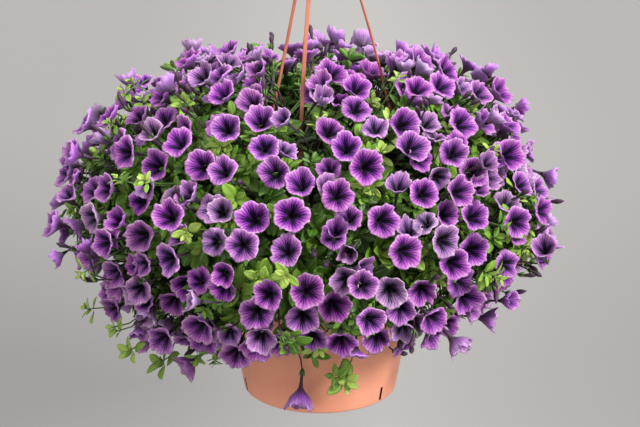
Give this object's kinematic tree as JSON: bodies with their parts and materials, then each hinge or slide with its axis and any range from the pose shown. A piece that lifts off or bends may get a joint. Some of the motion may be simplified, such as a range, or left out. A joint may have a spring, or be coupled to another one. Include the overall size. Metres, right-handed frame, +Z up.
{
  "type": "hanging basket",
  "caption": "Trailing petunia in flower: a wide mound of violet trumpet blooms and small leaves, grown in a slotted terracotta-coloured plastic pot on a three-legged hanger with a hook.",
  "frame": {"origin": "bearing point inside the bowl of the hook, where the basket hangs", "axes": "+Z up, -Y towards the viewer of the picture, +X to the viewer's right"},
  "size_m": [0.63, 0.6425, 0.715],
  "materials": {
    "pot_plastic": "smooth moulded plastic, terracotta colour",
    "hanger_plastic": "smooth moulded plastic, light terracotta colour",
    "soil": "dark crumbly peat-like potting soil",
    "petals": "soft violet petals with dark throats",
    "leaves": "matt green leaves"
  },
  "bodies": {
    "root": {"pot": "pot_plastic", "potting_soil": "soil", "hanger_hook": "hanger_plastic", "hanger_leg_front": "hanger_plastic", "hanger_leg_right": "hanger_plastic", "hanger_leg_left": "hanger_plastic", "flower_spray_01": "petals", "flower_spray_02": "petals", "flower_spray_03": "petals", "flower_spray_04": "petals", "flower_spray_05": "petals", "flower_spray_06": "petals", "flower_spray_07": "petals", "flower_spray_08": "petals", "flower_spray_09": "petals", "flower_spray_10": "petals", "flower_spray_11": "petals", "flower_spray_12": "petals", "flower_spray_13": "petals", "flower_spray_14": "petals", "flower_spray_15": "petals", "flower_spray_16": "petals", "flower_spray_17": "petals", "flower_spray_18": "petals", "flower_spray_19": "petals", "flower_spray_20": "petals", "flower_spray_21": "petals", "flower_spray_22": "petals", "flower_spray_23": "petals", "flower_spray_24": "petals", "leafy_stem_01": "leaves", "leafy_stem_02": "leaves", "leafy_stem_03": "leaves", "leafy_stem_04": "leaves", "leafy_stem_05": "leaves", "leafy_stem_06": "leaves", "leafy_stem_07": "leaves", "leafy_stem_08": "leaves", "leafy_stem_09": "leaves", "leafy_stem_10": "leaves", "leafy_stem_11": "leaves", "leafy_stem_12": "leaves", "leafy_stem_13": "leaves", "leafy_stem_14": "leaves", "leafy_stem_15": "leaves", "leafy_stem_16": "leaves", "leafy_stem_17": "leaves", "leafy_stem_18": "leaves", "leafy_stem_19": "leaves", "leafy_stem_20": "leaves", "leafy_stem_21": "leaves", "leafy_stem_22": "leaves"}
  },
  "joints": []
}
